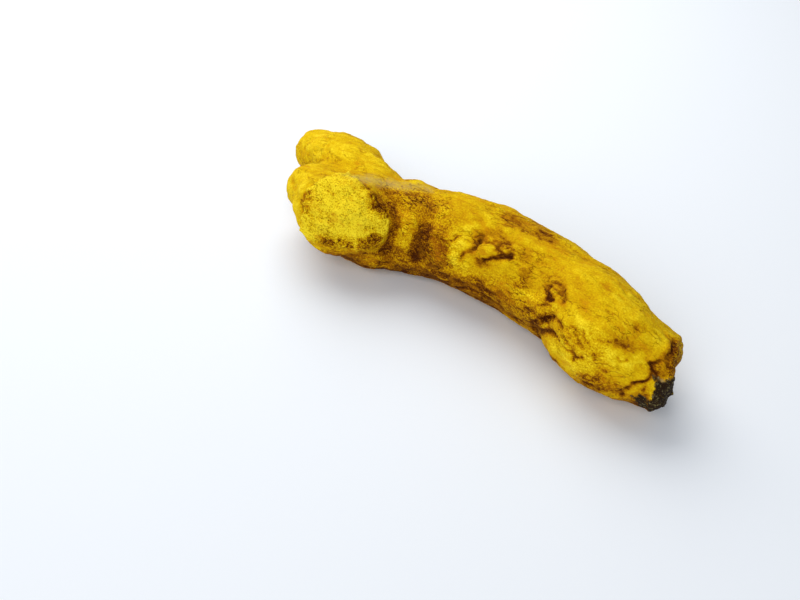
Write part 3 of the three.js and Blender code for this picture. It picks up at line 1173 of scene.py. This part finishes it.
@dataclass
class Surface:
    """The fine skin's points, with the height and the masks that its marks give them."""

    mesh: bpy.types.Mesh
    view: PhotoView
    wear: Wear
    lift: float = 0.6
    hollow_rounds: tuple[int, ...] = (20, 130)
    hollow_share: float = 0.4

    def __post_init__(self) -> None:
        """Reads the mesh, and works out what the camera sees of it."""
        self.points = self._read(self.mesh.vertices, "co") / MM
        self.normals = self._read(self.mesh.vertex_normals, "vector")
        faces = [tuple(face.vertices) for face in self.mesh.polygons]
        self.tree = BVHTree.FromPolygons(self.points.tolist(), faces)
        self.ragged = self.unevenness(self.wear.ragged)
        self.bent = self._bent()
        self.faced = np.zeros(len(self.points))
        self.seen = self._seen()
        self.relief = np.zeros(len(self.points))
        self.masks = {mask: np.zeros(len(self.points)) for mask in Mask}

    @staticmethod
    def _read(items: Any, name: str) -> np.ndarray:
        """One vector from each item of a Blender list.

        Args:
            items: the list, such as a mesh's vertices.
            name: the vector's name on each item.

        Returns:
            The vectors, one row each.
        """
        values = np.zeros(len(items) * 3, np.float32)
        items.foreach_get(name, values)
        return values.reshape(-1, 3).astype(float)

    def unevenness(self, layers: Sequence[Layer]) -> np.ndarray:
        """The height of some layers together at each point."""
        return sum(layer.over(self.points) for layer in layers)

    def _bent(self) -> np.ndarray:
        """The points after small random steps, which make a mark's outline crooked.

        Returns:
            The moved points.
        """
        steps = np.zeros_like(self.points)
        for size, length in self.wear.bends:
            turns = [noise.noise_vector(Vector(place)) for place in self.points / size]
            steps += np.array(turns) * length
        return self.points + steps

    def _seen(self) -> np.ndarray:
        """Whether the camera sees each point. It also sets how far each is turned to the camera.

        Returns:
            True where the camera sees the point.
        """
        away = np.array(self.view.place()) - self.points
        away /= np.linalg.norm(away, axis=1)[:, None]
        self.faced = np.einsum("ij,ij->i", self.normals, away)
        seen = self.faced > 0
        for index in np.flatnonzero(seen):
            start = Vector(self.points[index] + self.normals[index] * self.lift)
            seen[index] = self.tree.ray_cast(start, Vector(away[index]))[0] is None
        return seen

    def landed(self, mark: Mark) -> np.ndarray:
        """Where a mark's path lies on the skin.

        Args:
            mark: the mark.

        Returns:
            The path's corners, one row each; a corner that misses the skin is left out.
        """
        corners = []
        for first, second in mark.path:
            if mark.side is Side.PHOTO:
                start, way = self.view.place(), self.view.toward((first, second))
            elif mark.side is Side.BACK:
                start, way = Vector((first, WELL_OUTSIDE, second)), Vector((0.0, -1.0, 0.0))
            else:
                start, way = Vector((first, second, -WELL_OUTSIDE)), Vector((0.0, 0.0, 1.0))
            hit = self.tree.ray_cast(start, way.normalized())[0]
            if hit is not None:
                corners.append(hit)
        if not corners:
            log.warning("the mark %s lies off the root", mark.name)
        return np.array(corners, float)

    def stain_and_shade(self, mask: Mask, share: np.ndarray, where: np.ndarray | slice = slice(None)) -> None:
        """Adds to a mask, the less the fuller it is already.

        Args:
            mask: the mask.
            share: how much is added at each point where the mask is empty.
            where: the points that it is added at.
        """
        held = self.masks[mask][where]
        self.masks[mask][where] = held + (1 - np.clip(held, 0, 1)) * share

    def press(self, mark: Mark, distance: np.ndarray) -> None:
        """Adds a mark to the relief and to its mask.

        Args:
            mark: the mark.
            distance: each point's distance from it.
        """
        wear = self.wear
        uneven = distance * np.clip(1 + wear.width * self.ragged, *wear.widths) / mark.width
        self.relief += mark.height * np.exp(-(uneven**2))
        core = np.exp(-((uneven / wear.core_width) ** 2))
        halo = np.exp(-((uneven / wear.halo_width) ** 2))
        spread = wear.core * core + (1 - wear.core) * halo
        spread *= np.clip(1 - wear.fading * self.ragged, *wear.fadings)
        self.stain_and_shade(mark.stain_and_shade, mark.strength * spread)

    def lay(self, patch: Patch, pixels: np.ndarray) -> None:
        """Adds an outlined patch to the relief and to its mask.

        Args:
            patch: the patch.
            pixels: where each point shows in the photograph.
        """
        depth = outline_depth(pixels, np.array(patch.outline, float))
        depth += self.ragged * self.wear.patch_edge
        near = np.flatnonzero(self.seen & (depth > -patch.soft))
        share = soft_step(depth[near], -patch.soft / 2, patch.soft / 2)
        self.relief[near] += patch.height * share
        self.stain_and_shade(patch.stain_and_shade, patch.strength * share, near)

    def hollows(self) -> np.ndarray:
        """How deep each raised point lies below the skin round it.

        Returns:
            From -1 on the ridges to 1 in the hollows.
        """
        points = self.points + self.normals * self.relief[:, None]
        ends = np.zeros(len(self.mesh.edges) * 2, np.int32)
        self.mesh.edges.foreach_get("vertices", ends)
        first, second = ends.reshape(-1, 2).T
        count = np.bincount(ends, minlength=len(points))[:, None]
        smooth = points.copy()
        hollow = np.zeros(len(points))
        for rounds in self.hollow_rounds:
            for _ in range(rounds):
                total = [
                    np.bincount(first, smooth[second, axis], len(points))
                    + np.bincount(second, smooth[first, axis], len(points))
                    for axis in range(3)
                ]
                smooth = np.stack(total, axis=1) / count
            below = np.einsum("ij,ij->i", smooth - points, self.normals)
            hollow += (below - below.mean()) / below.std() * self.hollow_share
        return np.clip(hollow, -1, 1)

    def write(self) -> None:
        """Moves the mesh's points by the relief, no lower than the floor, and writes the masks."""
        points = self.points + self.normals * self.relief[:, None]
        points[:, 2] = np.maximum(points[:, 2], 0)
        self.mesh.vertices.foreach_set("co", (points * MM).astype(np.float32).ravel())
        for mask, values in self.masks.items():
            layer = self.mesh.attributes.new(mask.value, "FLOAT", "POINT")
            layer.data.foreach_set("value", values.astype(np.float32))
        smooth = np.ones(len(self.mesh.polygons), bool)
        self.mesh.polygons.foreach_set("use_smooth", smooth)
        self.mesh.update()


@dataclass(frozen=True)
class BrokenFace:
    """The broken face of the root, which is crumbly, with a ragged rim."""

    middle: Point = (39.7, -3.9, 6.4)
    outward: Point = (0.91, 0.2, -0.12)
    reach: float = 6.0
    behind: float = 1.8
    soft: float = 1.0
    ragged: float = 0.6
    turned: float = 0.2
    facing: Spot = (0.3, 0.7)
    flattened: float = 0.6
    layers: tuple[Layer, ...] = (
        Layer(Form.CRUMBED, (1.6, 1.6, 1.6), 0.45, (2.4, 6.3, 9.1)),
        Layer(Form.SOFT, (3.0, 3.0, 3.0), 0.35, (6.6, 1.9, 5.3)),
    )

    def share(self, surface: Surface) -> np.ndarray:
        """How far each point belongs to the face.

        Args:
            surface: the skin.

        Returns:
            The share, from 0 to 1.
        """
        uneven = surface.ragged * self.ragged
        outward = np.array(self.outward) / np.linalg.norm(self.outward)
        away = surface.points - np.array(self.middle)
        depth = away @ outward
        aside = np.linalg.norm(away - depth[:, None] * outward, axis=1) + uneven
        near = soft_step(aside, self.reach + self.soft, self.reach)
        facing = soft_step(surface.normals @ outward + uneven * self.turned, *self.facing)
        return near * facing * soft_step(depth + uneven, -self.behind - self.soft, -self.behind)

    def crumble(self, surface: Surface) -> None:
        """Gives the face its crumbs, and its mask.

        Args:
            surface: the skin.
        """
        share = self.share(surface)
        surface.relief *= 1 - self.flattened * share
        surface.relief += surface.unevenness(self.layers) * share
        surface.masks[Mask.BROKEN] = share


@dataclass(frozen=True)
class Dashes:
    """Short creases along the root, where the photograph doesn't show it."""

    count: int = 110
    turned: float = 0.6
    lengths: Spot = (0.4, 1.5)
    least: Point = (0.2, -0.2, 0.3)
    most: Point = (0.35, -0.06, 0.7)

    def press(self, surface: Surface, draw: np.random.Generator) -> None:
        """Presses the creases into the skin. Least and most are of width, height and strength.

        Args:
            surface: the skin.
            draw: the source of random numbers.
        """
        for start in draw.choice(np.flatnonzero(~surface.seen), self.count, replace=False):
            middle, outward = surface.points[start], surface.normals[start]
            along = np.array([1.0, *draw.uniform(-self.turned, self.turned, 2)])
            along -= outward * (along @ outward)
            along *= draw.uniform(*self.lengths) / max(np.linalg.norm(along), 1e-6)
            path = np.array([middle - along, middle + along])
            mark = Mark("dash", (), *draw.uniform(self.least, self.most))
            surface.press(mark, path_distance(surface.points, path))


@dataclass
class Rhizome:
    """The root itself, in one piece."""

    voxel: float = 0.24
    smoothing: int = 12
    view: PhotoView = field(default_factory=PhotoView)
    finish: TurmericSkin = field(default_factory=TurmericSkin)
    wear: Wear = field(default_factory=Wear)
    broken: BrokenFace = field(default_factory=BrokenFace)
    dashes: Dashes = field(default_factory=Dashes)
    layers: tuple[Layer, ...] = (
        Layer(Form.SOFT, (6.0, 4.5, 4.5), 0.30, (1.3, 5.2, 7.9)),
        Layer(Form.FOLDED, (3.6, 1.7, 1.7), 0.20, (8.1, 2.6, 4.4)),
        Layer(Form.SOFT, (1.3, 0.8, 0.8), 0.11, (3.3, 9.7, 6.2)),
        Layer(Form.SOFT, (0.6, 0.5, 0.5), 0.05, (5.9, 0.7, 2.1)),
    )
    crumbs: tuple[Layer, ...] = (
        Layer(Form.CRUMBED, (0.9, 0.9, 0.9), 0.22, (4.2, 4.8, 1.6)),
        Layer(Form.SOFT, (2.6, 2.6, 2.6), 0.35, (7.5, 3.9, 0.8)),
    )
    black_crumbs: float = 0.4
    black_top: Spot = (5.5, 3.5)
    black_ragged: float = 1.6
    # Where the painted shade of the underside and of the sides turned from the camera comes in.
    under_edge: Spot = (0.0, 0.8)
    under_ragged: float = 0.15
    turned_away_shade_edge: Spot = (-0.45, 0.1)
    seed: int = 7

    def build(self) -> bpy.types.Object:
        """Makes the root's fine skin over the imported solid.

        Returns:
            The finished mesh object.
        """
        noise.seed_set(self.seed)
        draw = np.random.default_rng(self.seed)
        skin = self._fine_skin()
        surface = Surface(skin.data, self.view, self.wear)
        surface.relief += surface.unevenness(self.layers)
        self.broken.crumble(surface)
        self._lay_patches(surface)
        self._press_marks(surface, draw)
        self.dashes.press(surface, draw)
        self._shade(surface)
        surface.write()
        return skin

    def dress(self, skin: bpy.types.Object) -> None:
        """Gives the skin its finish and its place in the frame.

        Args:
            skin: the root's mesh object.
        """
        skin.data.materials.append(self.finish.material())
        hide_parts(NODE)
        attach(skin, BODY)

    def _fine_skin(self) -> bpy.types.Object:
        """A fine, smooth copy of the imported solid.

        Returns:
            The copy's object.
        """
        shape = bmesh.new()
        shape.from_mesh(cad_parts[NODE].data)
        bmesh.ops.remove_doubles(shape, verts=shape.verts, dist=MERGE_DISTANCE * MM)
        coarse = bpy.data.meshes.new("coarse skin")
        shape.to_mesh(coarse)
        shape.free()
        maker = bpy.data.objects.new("coarse skin", coarse)
        bpy.context.scene.collection.objects.link(maker)
        rounder = maker.modifiers.new("round", "SUBSURF")
        rounder.levels = rounder.render_levels = 1
        remesh = maker.modifiers.new("fine", "REMESH")
        remesh.mode = "VOXEL"
        remesh.voxel_size = self.voxel * MM
        smooth = maker.modifiers.new("smooth", "SMOOTH")
        smooth.factor = 0.5
        smooth.iterations = self.smoothing
        ready = maker.evaluated_get(bpy.context.evaluated_depsgraph_get())
        fine = bpy.data.meshes.new_from_object(ready)
        bpy.data.objects.remove(maker)
        bpy.data.meshes.remove(coarse)
        skin = bpy.data.objects.new("turmeric_root", fine)
        fine.name = "turmeric_root"
        fine.materials.clear()
        bpy.context.scene.collection.objects.link(skin)
        return skin

    def _lay_patches(self, surface: Surface) -> None:
        """Lays the stains, the painted shade and light, and the cut face, blackens the low part of the
        break and crumbles both.

        Args:
            surface: the skin.
        """
        pixels = self.view.pixels(surface.bent)
        for patch in PATCHES:
            surface.lay(patch, pixels)
        height = surface.points[:, 2] + surface.ragged * self.black_ragged
        low = soft_step(height, *self.black_top)
        surface.stain_and_shade(Mask.BLACK, surface.masks[Mask.BROKEN] * low)
        crumbly = surface.masks[Mask.CUT] + surface.masks[Mask.BLACK] * self.black_crumbs
        surface.relief += surface.unevenness(self.crumbs) * crumbly

    def _press_marks(self, surface: Surface, draw: np.random.Generator) -> None:
        """Presses the marks and the strewn specks into the skin.

        Args:
            surface: the skin.
            draw: the source of random numbers.
        """
        strewn = [mark for specks in SPECKS for mark in specks.marks(draw)]
        for mark in (*MARKS, *strewn):
            path = surface.landed(mark)
            if len(path):
                surface.press(mark, path_distance(surface.bent, path))

    def _shade(self, surface: Surface) -> None:
        """Sets the masks that paint shade into the hollows, onto the underside and onto the rear, the sides
        turned from the camera; the underside is also browner.

        Args:
            surface: the skin.
        """
        downward = surface.ragged * self.under_ragged - surface.normals[:, 2]
        surface.masks[Mask.HOLLOW_SHADE] = surface.hollows()
        surface.masks[Mask.UNDERSIDE_SHADE_AND_BROWN] = soft_step(downward, *self.under_edge)
        surface.masks[Mask.TURNED_AWAY_SHADE] = soft_step(-surface.faced, *self.turned_away_shade_edge)


@dataclass(frozen=True)
class Lamp:
    """A soft square light that faces the root."""

    name: str
    azimuth: float
    elevation: float
    distance: float
    width: float
    power: float
    colour: Point

    def make(self, target: Vector) -> None:
        """Makes the light.

        Args:
            target: the place that it faces, in metres.
        """
        data = bpy.data.lights.new(self.name, "AREA")
        data.size = self.width
        data.energy = self.power
        data.color = self.colour
        turn = math.radians(self.azimuth)
        lift = math.radians(self.elevation)
        away = Vector(
            (math.sin(turn) * math.cos(lift), -math.cos(turn) * math.cos(lift), math.sin(lift))
        )
        lamp = bpy.data.objects.new(self.name, data)
        bpy.context.scene.collection.objects.link(lamp)
        lamp.location = target + away * self.distance
        lamp.rotation_mode = "QUATERNION"
        lamp.rotation_quaternion = (-away).to_track_quat("-Z", "Y")


@dataclass
class Studio:
    """The pale floor and the soft light. Distances here are in metres."""

    floor_width: float = 3.0
    sky: Paint = (0.86, 0.92, 1.0, 1.0)
    sky_strength: float = 0.34
    finish: FloorFinish = field(default_factory=FloorFinish)
    lamps: tuple[Lamp, ...] = (
        Lamp("key light", -120.0, 52.0, 0.24, 0.25, 0.55, (1.0, 0.99, 0.96)),
        Lamp("front light", 12.0, 38.0, 0.54, 0.4, 1.45, (1.0, 0.99, 0.97)),
    )

    def build(self) -> bpy.types.Object:
        """Makes the floor, the lights and the sky.

        Returns:
            The floor object.
        """
        shape = bmesh.new()
        bmesh.ops.create_grid(shape, x_segments=1, y_segments=1, size=self.floor_width / 2)
        mesh = bpy.data.meshes.new("floor")
        shape.to_mesh(mesh)
        shape.free()
        floor = bpy.data.objects.new("floor", mesh)
        bpy.context.scene.collection.objects.link(floor)
        low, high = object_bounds()
        for lamp in self.lamps:
            lamp.make((low + high) / 2)
        self._make_sky()
        return floor

    def _make_sky(self) -> None:
        """Makes the even light from all round, and leaves the colours as they are rendered."""
        world = bpy.data.worlds.new("sky")
        world.use_nodes = True
        background = world.node_tree.nodes["Background"]
        background.inputs["Color"].default_value = self.sky
        background.inputs["Strength"].default_value = self.sky_strength
        bpy.context.scene.world = world
        bpy.context.scene.view_settings.view_transform = "Standard"

    def dress(self, floor: bpy.types.Object) -> None:
        """Gives the floor its finish and keeps it out of the part.

        Args:
            floor: the floor object.
        """
        floor.data.materials.append(self.finish.material())
        floor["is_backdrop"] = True


def main() -> None:
    """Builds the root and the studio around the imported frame."""
    logging.basicConfig(level=logging.INFO, format="%(name)s: %(message)s")
    view = PhotoView()
    view.make()
    log.info("camera at %s mm", tuple(round(value, 1) for value in view.place()))
    root = Rhizome(view=view)
    skin = root.build()
    root.dress(skin)
    log.info("%s: %d faces", skin.name, len(skin.data.polygons))
    studio = Studio()
    floor = studio.build()
    studio.dress(floor)
    log.info("%s: %d lights", floor.name, len(studio.lamps))


if __name__ == "__main__":
    main()
